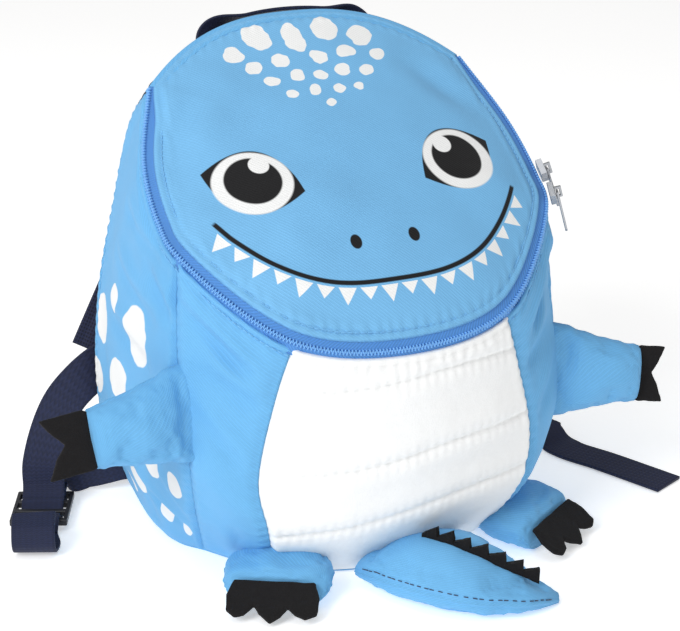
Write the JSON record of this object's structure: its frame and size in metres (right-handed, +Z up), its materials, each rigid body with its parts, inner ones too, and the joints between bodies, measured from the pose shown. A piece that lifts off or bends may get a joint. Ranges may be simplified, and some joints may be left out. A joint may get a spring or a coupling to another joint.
{
  "type": "kids_animal_backpack",
  "caption": "Small child's backpack shaped like a blue dinosaur, with a domed face lid, white fleece belly, stuffed arms, feet and tail, felt claws and padded straps",
  "frame": {"origin": "middle of the flat bottom, on the surface the bag stands on", "axes": "+Z up, -Y the way the face looks, +X the viewer's right"},
  "size_m": [0.4093, 0.2756, 0.29],
  "materials": {
    "body_cloth": "woven matte",
    "back_cloth": "woven matte",
    "strap": "ribbed webbing",
    "fleece": "brushed",
    "zip": "woven matte",
    "zip_metal": "satin",
    "felt": "felt",
    "buckle": "satin"
  },
  "bodies": {
    "bag": {"anchor_left": "strap", "anchor_right": "strap", "arm_left": "body_cloth", "arm_right": "body_cloth", "back_panel": "back_cloth", "base_panel": "body_cloth", "belly_panel": "fleece", "buckle_left": "buckle", "buckle_right": "buckle", "claw_left": "felt", "claw_right": "felt", "face_panel": "body_cloth", "foot_left": "body_cloth", "foot_right": "body_cloth", "front_panel_left": "body_cloth", "front_panel_right": "body_cloth", "grab_handle": "strap", "lid_binding": "zip", "shoulder_strap_left": "strap", "shoulder_strap_right": "strap", "side_panel_left": "body_cloth", "side_panel_right": "body_cloth", "tail": "body_cloth", "tail_spikes": "felt", "toes_left": "felt", "toes_right": "felt", "webbing_left": "strap", "webbing_right": "strap", "zip_coil": "zip", "zip_slider_lower": "zip_metal", "zip_slider_upper": "zip_metal", "zip_tape_body": "zip", "zip_tape_lid": "zip"},
    "pull_upper": {"zip_pull_upper": "zip_metal"},
    "pull_lower": {"zip_pull_lower": "zip_metal"}
  },
  "joints": [
    {"name": "pull_upper_hinge", "type": "hinge", "parent": "bag", "child": "pull_upper", "pos_m": [0.12011, -0.02756, 0.20797], "axis": [-0.2475, -0.9689, 0], "range_deg": [0, 120]},
    {"name": "pull_lower_hinge", "type": "hinge", "parent": "bag", "child": "pull_lower", "pos_m": [0.11892, -0.04367, 0.19887], "axis": [-0.3728, -0.9279, 0], "range_deg": [0, 120]}
  ]
}
